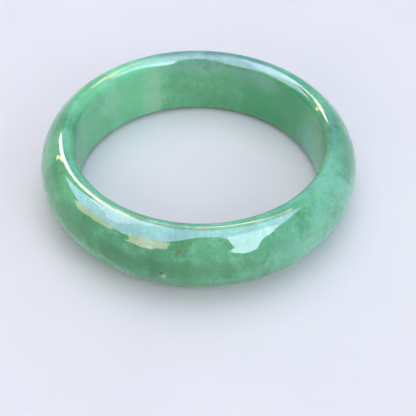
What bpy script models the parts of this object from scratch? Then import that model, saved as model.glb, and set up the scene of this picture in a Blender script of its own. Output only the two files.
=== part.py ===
"""Bangle bracelet: one closed ring of polished green stone with a D-shaped section.

The inner wall is straight, the outside is domed, and both rims are rounded over and lapped to a
narrow flat land. The bangle lies on its lower land: the origin is the centre of its base, and +Z
is its axis.
"""
import math

import bmesh
import bpy

# Driving dimensions, in metres
INNER_DIAMETER = 0.0560     # wrist opening, between the inner walls
WALL = 0.0080               # greatest thickness, from the inner wall to the crown of the dome
HEIGHT = 0.0164             # rim to rim, along the axis
INNER_EDGE_RADIUS = 0.0022  # rounding between each land and the inner wall
OUTER_EDGE_RADIUS = 0.0022  # rounding between each land and the dome
LAND_WIDTH = 0.0006         # flat ring lapped on each rim

# Fineness of the faceted solid
RING_STEPS = 96             # segments around the axis
DOME_STEPS = 12             # segments across the whole dome
EDGE_STEPS = 4              # segments across each rounded edge

MERGE_DISTANCE = 0.00001    # joins the last turned section to the first

STONE_COLOUR = (0.115, 0.402, 0.205, 1.0)
STONE_ROUGHNESS = 0.06
STONE_IOR = 1.55


def clear_scene():
    """Remove every object, so that the script can be run again in an open file."""
    for thing in list(bpy.data.objects):
        bpy.data.objects.remove(thing, do_unlink=True)


def arc(centre, radius, start, end, steps):
    """Points (x, z) along an arc, both ends included, with angles in radians from +X to +Z."""
    points = []
    for i in range(steps + 1):
        angle = start + (end - start) * i / steps
        points.append((centre[0] + radius * math.cos(angle), centre[1] + radius * math.sin(angle)))
    return points


def section_outline():
    """The D-shaped section as (x, z) points: down the outside, then up the inner wall."""
    inner_radius = INNER_DIAMETER / 2
    outer_radius = inner_radius + WALL
    middle = HEIGHT / 2

    # Centres of the rounded edges, in plan and above the base
    inner_edge_x = inner_radius + INNER_EDGE_RADIUS
    outer_edge_x = inner_edge_x + LAND_WIDTH
    inner_edge_rise = middle - INNER_EDGE_RADIUS
    outer_edge_rise = middle - OUTER_EDGE_RADIUS

    # The dome is one arc about mid-height that touches the crown and both outer edge arcs
    reach = outer_radius - outer_edge_x
    dome_radius = (reach**2 + outer_edge_rise**2 - OUTER_EDGE_RADIUS**2) / (2 * (reach - OUTER_EDGE_RADIUS))
    touch = math.atan2(outer_edge_rise, dome_radius - reach)
    dome_centre = (outer_radius - dome_radius, middle)

    up, down, inward = math.pi / 2, -math.pi / 2, math.pi
    upper_edge = arc((outer_edge_x, middle + outer_edge_rise), OUTER_EDGE_RADIUS, up, touch, EDGE_STEPS)
    dome = arc(dome_centre, dome_radius, touch, -touch, DOME_STEPS)
    lower_edge = arc((outer_edge_x, middle - outer_edge_rise), OUTER_EDGE_RADIUS, -touch, down, EDGE_STEPS)
    lower_inner = arc((inner_edge_x, middle - inner_edge_rise), INNER_EDGE_RADIUS, down, -inward, EDGE_STEPS)
    upper_inner = arc((inner_edge_x, middle + inner_edge_rise), INNER_EDGE_RADIUS, inward, up, EDGE_STEPS)

    # Neighbouring arcs share the points where they touch, so each dome end is left out once
    return upper_edge + dome[1:-1] + lower_edge + lower_inner + upper_inner


def stone_material():
    """Polished green stone."""
    material = bpy.data.materials.new("polished_green_stone")
    material.use_nodes = True
    shader = material.node_tree.nodes["Principled BSDF"]
    shader.inputs["Base Color"].default_value = STONE_COLOUR
    shader.inputs["Roughness"].default_value = STONE_ROUGHNESS
    shader.inputs["Metallic"].default_value = 0.0
    shader.inputs["IOR"].default_value = STONE_IOR
    material.diffuse_color = STONE_COLOUR
    return material


def turned_ring(name, outline):
    """Turn a closed outline about Z into a ring."""
    sketch = bmesh.new()
    corners = [sketch.verts.new((x, 0.0, z)) for x, z in outline]
    for start, end in zip(corners, corners[1:] + corners[:1]):
        sketch.edges.new((start, end))
    mesh = bpy.data.meshes.new(name)
    sketch.to_mesh(mesh)
    sketch.free()

    ring = bpy.data.objects.new(name, mesh)
    turn = ring.modifiers.new("turn", "SCREW")
    turn.axis = "Z"
    turn.angle = 2 * math.pi
    turn.steps = RING_STEPS
    turn.render_steps = RING_STEPS
    turn.use_merge_vertices = True
    turn.merge_threshold = MERGE_DISTANCE
    turn.use_smooth_shade = True
    return ring


def build():
    clear_scene()
    collection = bpy.data.collections.new("bangle_bracelet")
    bpy.context.scene.collection.children.link(collection)
    ring = turned_ring("bangle_ring", section_outline())
    ring.data.materials.append(stone_material())
    collection.objects.link(ring)


build()
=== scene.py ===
"""Looks of the bangle bracelet: one fine turned ring of polished, translucent green stone."""

import math

import bmesh
import bpy
import numpy as np
from mathutils import Matrix, Vector, noise


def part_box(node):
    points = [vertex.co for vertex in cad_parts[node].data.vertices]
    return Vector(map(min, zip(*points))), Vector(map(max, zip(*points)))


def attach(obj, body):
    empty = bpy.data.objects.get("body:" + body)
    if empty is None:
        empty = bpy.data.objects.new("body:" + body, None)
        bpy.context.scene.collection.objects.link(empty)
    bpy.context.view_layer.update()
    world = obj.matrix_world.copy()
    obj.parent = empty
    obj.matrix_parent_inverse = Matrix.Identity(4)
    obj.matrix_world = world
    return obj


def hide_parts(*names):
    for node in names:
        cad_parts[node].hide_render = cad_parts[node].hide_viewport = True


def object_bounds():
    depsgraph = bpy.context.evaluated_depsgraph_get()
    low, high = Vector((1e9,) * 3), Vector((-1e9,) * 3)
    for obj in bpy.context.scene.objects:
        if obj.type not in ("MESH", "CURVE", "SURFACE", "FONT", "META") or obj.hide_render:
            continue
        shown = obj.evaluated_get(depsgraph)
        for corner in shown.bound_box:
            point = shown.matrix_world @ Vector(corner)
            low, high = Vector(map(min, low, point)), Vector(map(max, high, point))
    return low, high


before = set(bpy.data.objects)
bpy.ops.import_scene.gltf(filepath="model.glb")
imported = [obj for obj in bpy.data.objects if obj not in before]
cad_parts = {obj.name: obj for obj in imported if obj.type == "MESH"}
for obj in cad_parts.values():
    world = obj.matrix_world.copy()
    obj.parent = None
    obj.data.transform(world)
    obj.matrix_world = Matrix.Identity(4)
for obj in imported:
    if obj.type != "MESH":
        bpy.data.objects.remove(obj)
cad_box = [list(corner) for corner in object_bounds()]

NODE = "bangle_ring"

# Fineness of the ring
TURN_STEPS = 480
DOME_STEPS = 56
EDGE_STEPS = 14
WALL_STEPS = 20
LAND_STEPS = 4
SAME_HEIGHT = 1e-6

# Hand polishing leaves the surface a touch uneven, always below the true section
POLISH_DEPTH = 0.000022
POLISH_SCALE = 95.0
POLISH_OCTAVES = 2

# The lapped lands are polished to a slight crown
LAND_CROWN_RADIUS = 0.010

# Greens of the stone, from the darkest clouds to the milky veils
DEEP_GREEN = (0.062, 0.270, 0.112)
MID_GREEN = (0.128, 0.420, 0.198)
MILKY_GREEN = (0.240, 0.540, 0.380)

# How polished, translucent stone takes light
STONE_IOR = 1.60
SCATTER_RADIUS = (0.5, 1.0, 0.7)
SCATTER_SCALE = 0.0045

# A soft spot is whole within a share of its radius, and its border wanders by a share of it
SPOT_CORE = 0.25
SPOT_BORDER = 1.2

# The mottles fade from the dome to the calmer inner wall, between these two radii
CALM_RADIUS = 0.0280
MOTTLED_RADIUS = 0.0300
CALM_SHARE = 0.35

# The healed fracture is a plane through the front of the ring. Its place and reach are in
# millimetres, and its thickness in metres.
FRACTURE_POINT = (-2.3, -32.8, 13.7)
FRACTURE_NORMAL = (0.71, -0.57, -0.40)
FRACTURE_REACH = 13.0
FRACTURE_WANDER = 0.0012
FRACTURE_CORE = 0.00005
FRACTURE_HALF_WIDTH = 0.00038
HAIRLINE_SHARE = 0.10
HAIRLINE_COLOUR = (0.20, 0.28, 0.12)

# Stains along the fracture: centre and radius in millimetres, share, colour
FRACTURE_STAINS = [
    ((1.0, -30.7, 16.4), 1.4, 0.60, (0.62, 0.20, 0.07)),
    ((-3.0, -33.6, 14.1), 1.7, 0.40, (0.26, 0.17, 0.06)),
    ((-4.1, -34.4, 13.1), 1.1, 0.66, (0.18, 0.07, 0.03)),
]

# Mineral spots, in the same form: two low on the front, two on the right of the rim
MINERAL_SPOTS = [
    ((-7.4, -35.2, 8.1), 0.55, 0.85, (0.10, 0.015, 0.01)),
    ((-6.8, -35.3, 7.2), 0.65, 0.42, (0.62, 0.62, 0.46)),
    ((30.6, 2.1, 16.4), 0.85, 0.45, (0.16, 0.10, 0.03)),
    ((29.3, 1.2, 16.2), 0.60, 0.35, (0.18, 0.14, 0.05)),
]

# Deeper and milkier places, some the stone's own colour and some painted light and shade: centre in
# millimetres, stretch, radius in millimetres, share, colour.
# A stretch below 1 makes a place longer that way. These lie on the dome, under the mottles.
STONE_TINTS_AND_PAINTED_SHADE_UNDER_MOTTLES = [
    # Milky right side, with one deep streak in it
    ((30.0, -8.0, 16.0), (0.8, 0.5, 1.0), 7.5, 0.30, (0.240, 0.480, 0.400)),
    ((29.0, -18.0, 14.0), (1.0, 0.7, 1.0), 12.0, 0.42, (0.240, 0.480, 0.400)),
    ((24.0, -25.0, 7.0), (1.0, 1.0, 1.0), 9.0, 0.35, (0.260, 0.520, 0.430)),
    ((32.0, -11.0, 14.0), (1.6, 0.4, 1.0), 3.4, 0.70, (0.062, 0.270, 0.112)),
    # Deep patches right and left of the front: painted shade, low on the dome where the dark floor by the
    # ring shows in the polish
    ((12.0, -33.0, 9.0), (0.7, 1.0, 1.0), 8.0, 0.60, (0.055, 0.240, 0.100)),
    ((-21.0, -27.5, 12.5), (1.0, 1.0, 1.4), 8.0, 0.60, (0.062, 0.270, 0.112)),
]

# The same, over the mottles
STONE_TINTS_AND_PAINTED_LIGHT_OVER_MOTTLES = [
    # Inner wall, left: a broad paler green, painted light where the wall faces the light from the right,
    # with two chalky veils
    ((-17.0, 21.5, 9.0), (1.0, 1.0, 0.8), 15.0, 0.68, (0.235, 0.660, 0.355)),
    ((-11.8, 25.6, 5.5), (1.0, 1.0, 0.32), 4.0, 0.40, (0.450, 0.620, 0.450)),
    ((-21.5, 17.5, 12.0), (1.0, 1.0, 0.40), 4.4, 0.42, (0.360, 0.640, 0.460)),
    # More painted light, low on the left of the inner wall
    ((-25.5, 11.0, 10.0), (1.0, 1.0, 0.8), 11.0, 0.45, (0.220, 0.620, 0.340)),
    # Inner wall, right: deep green, painted shade where the wall faces away from the light, then a milky
    # edge at the top and low at the side
    ((19.0, 20.5, 9.0), (1.0, 1.0, 0.8), 17.0, 0.80, (0.062, 0.350, 0.150)),
    ((0.0, 28.0, 14.8), (0.22, 1.0, 1.0), 4.5, 0.50, (0.300, 0.500, 0.420)),
    ((14.5, 24.0, 14.2), (0.55, 0.65, 1.0), 5.5, 0.55, (0.240, 0.450, 0.380)),
    ((25.5, 8.0, 3.0), (1.0, 1.0, 1.0), 9.0, 0.50, (0.260, 0.560, 0.470)),
    # Lower dome: painted shade, a deep base and a deep band from the left round the front where the dark
    # floor by the ring shows in the polish, then a milky place
    ((0.0, -34.0, 4.0), (0.30, 0.8, 1.0), 6.0, 0.60, (0.058, 0.240, 0.104)),
    ((-26.0, -23.8, 10.6), (0.8, 0.8, 1.9), 8.5, 0.66, (0.036, 0.195, 0.074)),
    ((-14.5, -32.8, 9.2), (0.65, 1.0, 1.8), 8.8, 0.70, (0.030, 0.170, 0.064)),
    ((0.5, -35.6, 9.0), (0.55, 1.0, 2.2), 7.8, 0.60, (0.038, 0.190, 0.070)),
    ((19.5, -29.5, 11.0), (1.0, 1.0, 1.2), 7.0, 0.20, (0.290, 0.600, 0.510)),
    # Rim, on the right and at the back: deeper; the two at the back are painted shade that holds down the
    # overhead light's glow on the back rim
    ((31.8, -4.0, 15.4), (1.0, 0.5, 1.0), 6.0, 0.55, (0.056, 0.240, 0.130)),
    ((30.5, 5.0, 16.6), (1.0, 0.6, 1.0), 5.5, 0.42, (0.060, 0.200, 0.120)),
    ((-9.0, 32.5, 16.4), (0.30, 1.0, 1.0), 7.0, 0.60, (0.060, 0.200, 0.140)),
    ((13.0, 30.5, 17.2), (0.40, 0.80, 1.0), 6.6, 0.65, (0.050, 0.170, 0.130)),
]

# Floor
FLOOR_HALF_SIZE = 12.0
FLOOR_SHADES = ((0.66, 0.605, 0.625), (0.72, 0.665, 0.68))

# How far off the soft lights stand, and the cards that the polish reflects
LIGHT_DISTANCE = 1.0
SKY_DISTANCE = 6.0
TREE_DISTANCE = 4.0
CLOUD_DISTANCE = 3.6
GAP_DISTANCE = 1.2
GLARE_DISTANCE = 0.40
RIGHT_STRIP_DISTANCE = 0.38
LEFT_STRIP_DISTANCE = 0.41

# Unevenness of an outline of trees: its size in degrees, the share that leaves add to the boughs,
# how fast the boughs and the leaves change from degree to degree, and the step between points
LEAF_RAGGEDNESS = 3.0
LEAF_SHARE = 0.8
BOUGH_SCALE = 0.31
LEAF_SCALE = 0.71
LEAF_STEP = 0.7

# Pale surround, bluer towards the right
SURROUND_LEFT = (0.62, 0.68, 0.66)
SURROUND_RIGHT = (0.62, 0.86, 1.15)

# Camera, by its distance and height over the bangle's base centre
CAMERA_DISTANCE = 0.19437
CAMERA_ELEVATION = 42.86
CAMERA_AIM = (0.0022, -0.0083, 0.0)
CAMERA_ROLL = 1.31
CAMERA_LENS = 70.6
CAMERA_SENSOR = 36.0
CAMERA_CLIP_START = 0.01


def add_object(name, sheet):
    """A new object in the scene, with the mesh made so far."""
    mesh = bpy.data.meshes.new(name)
    sheet.to_mesh(mesh)
    sheet.free()
    thing = bpy.data.objects.new(name, mesh)
    bpy.context.scene.collection.objects.link(thing)
    return thing


# ---------------------------------------------------------------- shape

def cad_section():
    """The ring's section sizes, read from the CAD node: radii, height and lands."""
    low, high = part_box(NODE)
    points = np.array([v.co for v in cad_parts[NODE].data.vertices], float)
    radius = np.hypot(points[:, 0], points[:, 1])
    top_land = radius[points[:, 2] > high.z - SAME_HEIGHT]
    return {
        "inner": radius.min(),
        "outer": high.x,
        "base": low.z,
        "top": high.z,
        "land_inner": top_land.min(),
        "land_outer": top_land.max(),
    }


def arc(centre, radius, start, end, steps):
    """Points (x, z, nx, nz) along an arc, start included and end left out."""
    points = []
    for i in range(steps):
        angle = start + (end - start) * i / steps
        nx, nz = math.cos(angle), math.sin(angle)
        points.append((centre[0] + radius * nx, centre[1] + radius * nz, nx, nz))
    return points


def section_outline(size):
    """The D-shaped section with its normals: down the outside, then up the inner wall."""
    middle = (size["base"] + size["top"]) / 2
    half = (size["top"] - size["base"]) / 2
    edge = size["land_inner"] - size["inner"]
    land = (size["land_outer"] - size["land_inner"]) / 2
    crown = math.asin(land / LAND_CROWN_RADIUS)
    sink = LAND_CROWN_RADIUS * (1 - math.cos(crown))

    # The edge arcs sit lower by the crown's depth, and start where the crown ends
    edge_angle = math.pi / 2 - crown
    outer_edge_x = size["land_outer"] - edge * math.sin(crown)
    inner_edge_x = size["land_inner"] + edge * math.sin(crown)
    rise = half - sink - edge * math.cos(crown)
    reach = size["outer"] - outer_edge_x
    dome = (reach**2 + rise**2 - edge**2) / (2 * (reach - edge))
    touch = math.atan2(rise, dome - reach)
    land_middle = (size["land_outer"] + size["land_inner"]) / 2
    crown_rise = half - LAND_CROWN_RADIUS
    up, down, inward = math.pi / 2, -math.pi / 2, math.pi

    top_land = (land_middle, middle + crown_rise)
    base_land = (land_middle, middle - crown_rise)
    outline = arc(top_land, LAND_CROWN_RADIUS, up + crown, up - crown, LAND_STEPS)
    outline += arc((outer_edge_x, middle + rise), edge, edge_angle, touch, EDGE_STEPS)
    outline += arc((size["outer"] - dome, middle), dome, touch, -touch, DOME_STEPS)
    outline += arc((outer_edge_x, middle - rise), edge, -touch, -edge_angle, EDGE_STEPS)
    outline += arc(base_land, LAND_CROWN_RADIUS, down + crown, down - crown, LAND_STEPS)
    outline += arc((inner_edge_x, middle - rise), edge, down - crown, -inward, EDGE_STEPS)
    wall_x = inner_edge_x - edge
    for i in range(WALL_STEPS):
        outline.append((wall_x, middle - rise + 2 * rise * i / WALL_STEPS, -1.0, 0.0))
    outline += arc((inner_edge_x, middle + rise), edge, inward, up + crown, EDGE_STEPS)
    return outline


def polish_depth(point):
    """How far hand polishing has taken the surface down at a point."""
    wave = noise.fractal(Vector(point) * POLISH_SCALE, 1.0, 2.0, POLISH_OCTAVES)
    return POLISH_DEPTH * min(max(0.5 + 0.5 * wave, 0.0), 1.0)


def make_ring():
    """The bangle as a fine turned mesh, within the CAD node's own box."""
    outline = section_outline(cad_section())
    sheet = bmesh.new()
    rows = []
    for k in range(TURN_STEPS):
        turn = 2 * math.pi * k / TURN_STEPS
        c, s = math.cos(turn), math.sin(turn)
        row = []
        for x, z, nx, nz in outline:
            point = Vector((x * c, x * s, z))
            normal = Vector((nx * c, nx * s, nz))
            row.append(sheet.verts.new(point - normal * polish_depth(point)))
        rows.append(row)
    count = len(outline)
    for k in range(TURN_STEPS):
        here, there = rows[k], rows[(k + 1) % TURN_STEPS]
        for i in range(count):
            j = (i + 1) % count
            sheet.faces.new((here[i], here[j], there[j], there[i]))
    sheet.normal_update()
    piece = add_object("bangle", sheet)
    piece.data.shade_smooth()
    return piece


# ---------------------------------------------------------------- materials

class Graph:
    """A short way to write a node tree."""

    def __init__(self, tree):
        self.tree = tree

    def add(self, kind, sockets=None, **settings):
        """A node with its settings, and its sockets either linked or given a value."""
        node = self.tree.nodes.new(kind)
        for key, value in settings.items():
            setattr(node, key, value)
        for key, value in (sockets or {}).items():
            if isinstance(value, bpy.types.NodeSocket):
                self.tree.links.new(value, node.inputs[key])
            else:
                node.inputs[key].default_value = value
        return node

    def place(self):
        """The point on the object, in metres."""
        return self.add("ShaderNodeTexCoord").outputs["Object"]

    def noise(self, vector, scale, detail=3.0, roughness=0.5, distortion=0.0):
        sockets = {"Vector": vector, "Scale": scale, "Detail": detail, "Roughness": roughness,
                   "Distortion": distortion}
        return self.add("ShaderNodeTexNoise", sockets).outputs["Fac"]

    def math(self, operation, a, b=0.0):
        return self.add("ShaderNodeMath", {0: a, 1: b}, operation=operation).outputs[0]

    def product(self, first, *others):
        for other in others:
            first = self.math("MULTIPLY", first, other)
        return first

    def vector_math(self, operation, *vectors):
        return self.add("ShaderNodeVectorMath", dict(enumerate(vectors)), operation=operation).outputs

    def remap(self, value, low, high, to_low=0.0, to_high=1.0):
        """The value eased from low-high to to_low-to_high, and held at the ends."""
        sockets = {"Value": value, "From Min": low, "From Max": high, "To Min": to_low, "To Max": to_high}
        node = self.add("ShaderNodeMapRange", sockets, interpolation_type="SMOOTHSTEP")
        return node.outputs["Result"]

    def mix(self, share, a, b):
        """Colour a with a share of colour b; a colour is a socket, or red, green and blue."""
        node = self.add("ShaderNodeMix", data_type="RGBA")
        share_socket, a_socket, b_socket = node.inputs["Factor"], node.inputs[6], node.inputs[7]
        self.tree.links.new(share, share_socket)
        for socket, value in ((a_socket, a), (b_socket, b)):
            if isinstance(value, bpy.types.NodeSocket):
                self.tree.links.new(value, socket)
            else:
                socket.default_value = (*value, 1.0)
        return node.outputs[2]

    def stretch(self, vector, scale, rotation=(0.0, 0.0, 0.0)):
        sockets = {"Vector": vector, "Scale": scale, "Rotation": rotation}
        return self.add("ShaderNodeMapping", sockets).outputs["Vector"]


def metres(length):
    """A length that was given in millimetres."""
    return length / 1000


def point_in_metres(point):
    """A point that was given in millimetres."""
    return tuple(metres(c) for c in point)


def soft_spot(g, place, centre, radius, fuzz):
    """1 at a point in the stone, fading to 0 at a radius, with an uneven border."""
    reach = g.vector_math("DISTANCE", place, centre)["Value"]
    border = g.math("MULTIPLY", g.math("SUBTRACT", fuzz, 0.5), SPOT_BORDER)
    ragged = g.math("ADD", g.math("DIVIDE", reach, radius), border)
    return g.remap(ragged, SPOT_CORE, 1.0, 1.0, 0.0)


def tint(g, colour, place, tints, fuzz):
    """The colour with some stretched soft spots mixed in."""
    for centre, stretch, radius, share, shade in tints:
        stretched = g.stretch(place, stretch)
        middle = tuple(c * k for c, k in zip(point_in_metres(centre), stretch))
        spot = soft_spot(g, stretched, middle, metres(radius), fuzz)
        colour = g.mix(g.product(spot, share), colour, shade)
    return colour


def fracture(g, place, fuzz):
    """How near the surface is to the healed fracture's plane: 1 on it, 0 a hair's breadth away."""
    from_plane = g.vector_math("SUBTRACT", place, point_in_metres(FRACTURE_POINT))[0]
    offset = g.vector_math("DOT_PRODUCT", from_plane, FRACTURE_NORMAL)["Value"]
    unevenness = g.math("MULTIPLY", g.math("SUBTRACT", fuzz, 0.5), FRACTURE_WANDER)
    gap = g.math("ABSOLUTE", g.math("ADD", offset, unevenness))
    return g.remap(gap, FRACTURE_CORE, FRACTURE_HALF_WIDTH, 1.0, 0.0)


def stone():
    """Polished green stone, clouded, streaked and speckled, with one stained healed fracture, and painted
    light and shade in places.
    """
    material = bpy.data.materials.new("green_stone")
    material.use_nodes = True
    tree = material.node_tree
    g = Graph(tree)
    shader = tree.nodes["Principled BSDF"]
    place = g.place()

    # Broad clouds of deeper and paler green
    cloud = g.remap(g.noise(place, scale=60.0, distortion=0.5), 0.30, 0.66)
    colour = g.mix(cloud, DEEP_GREEN, MID_GREEN)

    # Deeper and milkier places on the dome, under the mottles, with painted shade low on the front
    fuzz = g.noise(place, scale=260.0, roughness=0.6)
    colour = tint(g, colour, place, STONE_TINTS_AND_PAINTED_SHADE_UNDER_MOTTLES, fuzz)

    # Smaller, softer mottles over the clouds, calmer on the inner wall
    around = g.vector_math("MULTIPLY", place, (1.0, 1.0, 0.0))[0]
    radius = g.vector_math("LENGTH", around)["Value"]
    outside = g.remap(radius, CALM_RADIUS, MOTTLED_RADIUS, CALM_SHARE, 1.0)
    mottle = g.noise(place, scale=230.0, roughness=0.55, distortion=0.4)
    milky_mottle = g.remap(mottle, 0.50, 0.72, to_high=0.55)
    deep_mottle = g.remap(mottle, 0.50, 0.28, to_high=0.55)
    colour = g.mix(g.product(milky_mottle, outside), colour, MILKY_GREEN)
    colour = g.mix(g.product(deep_mottle, outside), colour, DEEP_GREEN)

    # Milky veils that follow the stone's foliation, strongest towards one side of the ring
    grain = g.stretch(place, (1.0, 0.20, 0.16), rotation=(0.0, 0.0, 0.12))
    across = g.add("ShaderNodeSeparateXYZ", {"Vector": place}).outputs["X"]
    side_share = g.remap(across, -0.030, 0.034, to_low=0.20, to_high=0.60)
    patch = g.remap(g.noise(place, scale=85.0, distortion=0.8), 0.36, 0.64, to_low=0.2)
    veil = g.remap(g.noise(grain, scale=250.0, distortion=0.2), 0.28, 0.75)
    colour = g.mix(g.product(veil, patch, side_share), colour, MILKY_GREEN)

    # Fine foliation lines and a granular speckle
    lines = g.noise(grain, scale=1300.0, detail=2.0)
    colour = g.mix(g.remap(lines, 0.40, 0.75, to_high=0.10), colour, MILKY_GREEN)
    speckle = g.noise(place, scale=1700.0, detail=2.0, roughness=0.6)
    colour = g.mix(g.remap(speckle, 0.50, 0.75, to_high=0.34), colour, MILKY_GREEN)
    colour = g.mix(g.remap(speckle, 0.50, 0.25, to_high=0.30), colour, DEEP_GREEN)

    # Deeper and milkier places all round, over the mottles, with painted light and painted shade on the
    # inner wall, the lower dome and the back rim
    colour = tint(g, colour, place, STONE_TINTS_AND_PAINTED_LIGHT_OVER_MOTTLES, fuzz)

    # The healed fracture: a hairline, stained by iron where it is open to the surface
    fine_fuzz = g.noise(place, scale=900.0, roughness=0.6)
    crack = fracture(g, place, fine_fuzz)
    reach = soft_spot(g, place, point_in_metres(FRACTURE_POINT), metres(FRACTURE_REACH), fuzz)
    colour = g.mix(g.product(crack, reach, HAIRLINE_SHARE), colour, HAIRLINE_COLOUR)
    for centre, radius, share, stain in FRACTURE_STAINS:
        spot = soft_spot(g, place, point_in_metres(centre), metres(radius), fine_fuzz)
        colour = g.mix(g.product(spot, crack, share), colour, stain)
    for centre, radius, share, stain in MINERAL_SPOTS:
        spot = soft_spot(g, place, point_in_metres(centre), metres(radius), fine_fuzz)
        colour = g.mix(g.product(spot, share), colour, stain)

    tree.links.new(colour, shader.inputs["Base Color"])
    polish = g.remap(g.noise(place, scale=700.0, roughness=0.6), 0.3, 0.8, to_low=0.02, to_high=0.05)
    tree.links.new(polish, shader.inputs["Roughness"])
    shader.inputs["IOR"].default_value = STONE_IOR
    shader.inputs["Subsurface Weight"].default_value = 1.0
    shader.inputs["Subsurface Radius"].default_value = SCATTER_RADIUS
    shader.inputs["Subsurface Scale"].default_value = SCATTER_SCALE
    return material


# ---------------------------------------------------------------- stage

def make_floor():
    """A plain pale floor, far wider than the view."""
    sheet = bmesh.new()
    bmesh.ops.create_grid(sheet, x_segments=4, y_segments=4, size=FLOOR_HALF_SIZE)
    floor = add_object("floor", sheet)
    floor.location.z = cad_box[0][2]
    material = bpy.data.materials.new("pale_floor")
    material.use_nodes = True
    g = Graph(material.node_tree)
    mottle = g.noise(g.place(), scale=30.0, detail=4.0)
    shader = material.node_tree.nodes["Principled BSDF"]
    material.node_tree.links.new(g.mix(mottle, *FLOOR_SHADES), shader.inputs["Base Color"])
    shader.inputs["Roughness"].default_value = 0.75
    shader.inputs["Specular IOR Level"].default_value = 0.2
    floor.data.materials.append(material)


def direction(azimuth, elevation):
    """Unit vector: azimuth 0 towards the camera's side (-Y), 90 towards +X; elevation from the horizon."""
    a, e = math.radians(azimuth), math.radians(elevation)
    return Vector((math.sin(a) * math.cos(e), -math.cos(a) * math.cos(e), math.sin(e)))


def wander(a, e, scale):
    """A smooth shift in azimuth and elevation that changes from place to place."""
    return Vector([noise.noise(Vector((a * scale, e * scale, layer))) for layer in (3.5, 11.5)])


def leafy(corners):
    """The outline through some (azimuth, elevation) corners, as uneven as trees against the sky."""
    outline = []
    for (a0, e0), (a1, e1) in zip(corners, corners[1:] + corners[:1]):
        pieces = max(1, round(math.hypot(a1 - a0, e1 - e0) / LEAF_STEP))
        for i in range(pieces):
            a = a0 + (a1 - a0) * i / pieces
            e = e0 + (e1 - e0) * i / pieces
            shift = (wander(a, e, BOUGH_SCALE) + wander(a, e, LEAF_SCALE) * LEAF_SHARE) * LEAF_RAGGEDNESS
            outline.append((a + shift.x, e + shift.y))
    return outline


def strip(points):
    """The outline of a thin strip along a line of (azimuth, elevation, width) points."""
    one_side, other_side = [], []
    for i, (a, e, width) in enumerate(points):
        before, after = points[max(i - 1, 0)], points[min(i + 1, len(points) - 1)]
        along = Vector((after[0] - before[0], after[1] - before[1])).normalized()
        across = Vector((-along.y, along.x)) * width / 2
        one_side.append((a + across.x, e + across.y))
        other_side.append((a - across.x, e - across.y))
    return one_side + other_side[::-1]


def reflection_card(name, outline, colour, strength, distance):
    """A glowing card that shows only as a reflection. Its outline is (azimuth, elevation) points."""
    sheet = bmesh.new()
    face = sheet.faces.new([sheet.verts.new(direction(a, e) * distance) for a, e in outline])
    bmesh.ops.triangulate(sheet, faces=[face])
    card = add_object(name, sheet)
    material = bpy.data.materials.new(name)
    material.use_nodes = True
    tree = material.node_tree
    tree.nodes.clear()
    g = Graph(tree)
    glow = g.add("ShaderNodeEmission", {"Color": (*colour, 1.0), "Strength": strength})
    g.add("ShaderNodeOutputMaterial", {"Surface": glow.outputs[0]})
    card.data.materials.append(material)
    card.visible_camera = False
    card.visible_diffuse = False
    card.visible_shadow = False
    card.visible_transmission = False


def soft_light(name, azimuth, elevation, size, power, colour):
    """A round soft light aimed at the bangle. It lights, and the cards stand for it in reflections."""
    data = bpy.data.lights.new(name, "AREA")
    data.shape = "DISK"
    data.size = size
    data.energy = power
    data.color = colour
    light = bpy.data.objects.new(name, data)
    bpy.context.scene.collection.objects.link(light)
    towards = direction(azimuth, elevation)
    light.location = towards * LIGHT_DISTANCE
    light.rotation_euler = towards.to_track_quat("Z", "Y").to_euler()
    light.visible_camera = False
    light.visible_glossy = False


def make_lights():
    """Three soft lights: overhead, to the right, and from the camera's left."""
    soft_light("overhead_light", azimuth=180, elevation=74, size=0.9, power=3.6, colour=(0.95, 0.97, 1.0))
    soft_light("right_light", azimuth=50, elevation=32, size=0.5, power=1.8, colour=(1.0, 0.98, 0.95))
    soft_light("front_light", azimuth=345, elevation=26, size=0.6, power=2.4, colour=(0.98, 0.99, 1.0))


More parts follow.
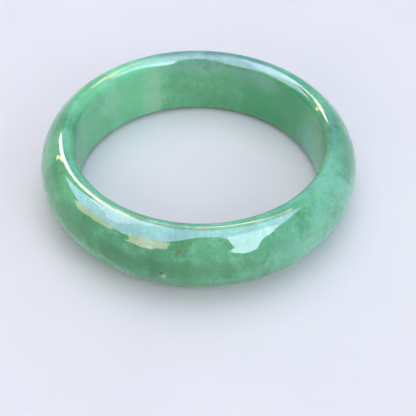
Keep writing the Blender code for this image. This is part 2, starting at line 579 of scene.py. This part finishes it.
def make_reflections():
    """The cards that the polish reflects. Each corner is a direction from the bangle, in degrees."""
    # Open sky overhead, and the dimmer trees behind
    sky = [(0, 55), (14, 55), (24, 45), (32, 41), (60, 37), (85, 41), (93, 44), (104, 56), (118, 63),
           (150, 64), (170, 77), (188, 77), (196, 64), (213, 59), (226, 57), (238, 49), (245, 38),
           (247, 24), (275, 22), (285, 27), (308, 25), (337, 35), (348, 47)]
    reflection_card("overhead_card", sky, (0.52, 0.58, 1.0), strength=8.6, distance=SKY_DISTANCE)
    trees = [(104, 50), (120, 57), (155, 59), (173, 46), (186, 46), (189, 52), (190, 60), (192, 68),
             (186, 78), (170, 78), (140, 73), (112, 72), (98, 66)]
    reflection_card("back_card", trees, (0.60, 0.48, 0.95), strength=4.2, distance=TREE_DISTANCE)
    low_trees = [(165, 45), (163, 15), (190, 15), (188, 45)]
    reflection_card("low_back_card", low_trees, (0.30, 0.44, 1.0), strength=2.4, distance=TREE_DISTANCE)

    # Brighter clouds
    cloud = [(189, 50), (196, 52), (207, 58), (216, 56), (240, 51), (262, 50), (280, 44), (289, 37),
             (297, 38), (300, 52), (290, 62), (262, 72), (228, 75), (205, 71), (194, 65), (190, 58)]
    reflection_card("cloud_card", cloud, (0.66, 0.65, 1.0), strength=11.5, distance=CLOUD_DISTANCE)
    right_cloud = [(106, 62), (98, 57), (84, 49.5), (79, 50), (84, 56), (98, 64)]
    reflection_card("right_cloud_card", right_cloud, (0.66, 0.80, 1.0), strength=7.0,
                    distance=CLOUD_DISTANCE)

    # Bright gaps between the trees in front
    front_right = leafy([(22, 48), (25, 28), (20, 16), (26, 5), (36, 8), (41, 24), (56, 35), (64, 42),
                         (40, 50)])
    reflection_card("front_right_card", front_right, (0.66, 0.78, 1.0), strength=12.0,
                    distance=GAP_DISTANCE)
    front_left = leafy([(342, 36), (338, 20), (328, 11), (316, 14), (312, 28), (322, 34)])
    reflection_card("front_left_card", front_left, (1.0, 0.72, 0.66), strength=6.5, distance=GAP_DISTANCE)
    left = leafy([(304, 31), (301, 22), (288, 18), (275, 13), (268, 17), (270, 23), (285, 28)])
    reflection_card("left_card", left, (1.0, 0.70, 0.55), strength=5.6, distance=GAP_DISTANCE)

    # The white glare and the thin warm lines along the rims
    white = [(198, 40), (206, 38), (214, 35.5), (217, 37), (218, 44), (213, 48.5), (210, 52),
             (213, 56.5), (212, 61), (205, 60), (195, 55), (191.5, 52), (191.5, 49), (194.5, 49),
             (196.8, 45)]
    reflection_card("white_card", white, (1.0, 0.80, 0.94), strength=12.4, distance=GLARE_DISTANCE)
    warm_right = strip([(198, 45.8, 2.4), (189, 46.7, 2.6), (184, 47.0, 3.4), (180, 49.3, 2.4),
                        (172, 50.8, 1.8), (165, 55.3, 1.6), (160, 57.7, 1.6), (153, 59.9, 2.0),
                        (147, 60.4, 2.6), (139, 59.3, 2.4), (133, 60.4, 1.6)])
    reflection_card("warm_strip_right", warm_right, (1.0, 0.58, 0.34), strength=14.0,
                    distance=RIGHT_STRIP_DISTANCE)
    warm_left = strip([(217, 40.2, 2.4), (223, 38.7, 2.6), (229, 34.6, 2.4), (233, 28.9, 2.0),
                       (237, 22.0, 2.2), (240.5, 15.0, 2.2)])
    reflection_card("warm_strip_left", warm_left, (1.0, 0.56, 0.28), strength=13.5,
                    distance=LEFT_STRIP_DISTANCE)


def make_surround():
    """The pale world around the scene, a little bluer to the right."""
    world = bpy.data.worlds.new("studio")
    world.use_nodes = True
    tree = world.node_tree
    g = Graph(tree)
    towards = g.add("ShaderNodeTexCoord").outputs["Generated"]
    across = g.add("ShaderNodeSeparateXYZ", {"Vector": towards}).outputs["X"]
    colour = g.mix(g.remap(across, -0.3, 0.9), SURROUND_LEFT, SURROUND_RIGHT)
    tree.links.new(colour, tree.nodes["Background"].inputs["Color"])
    bpy.context.scene.world = world


def make_camera():
    """The camera, aimed just in front of the bangle's centre and rolled a little."""
    camera = bpy.data.objects.new("camera", bpy.data.cameras.new("camera"))
    bpy.context.scene.collection.objects.link(camera)
    camera.data.lens = CAMERA_LENS
    camera.data.sensor_width = CAMERA_SENSOR
    camera.data.clip_start = CAMERA_CLIP_START
    camera.location = direction(0, CAMERA_ELEVATION) * CAMERA_DISTANCE
    look = Vector(CAMERA_AIM) - camera.location
    roll = Matrix.Rotation(math.radians(CAMERA_ROLL), 3, "Z")
    camera.rotation_euler = (look.to_track_quat("-Z", "Y").to_matrix() @ roll).to_euler()
    bpy.context.scene.camera = camera


ring = make_ring()
ring.data.materials.append(stone())
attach(ring, "root")
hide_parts(NODE)

make_floor()
make_lights()
make_reflections()
make_surround()
make_camera()
bpy.context.scene.view_settings.view_transform = "Standard"
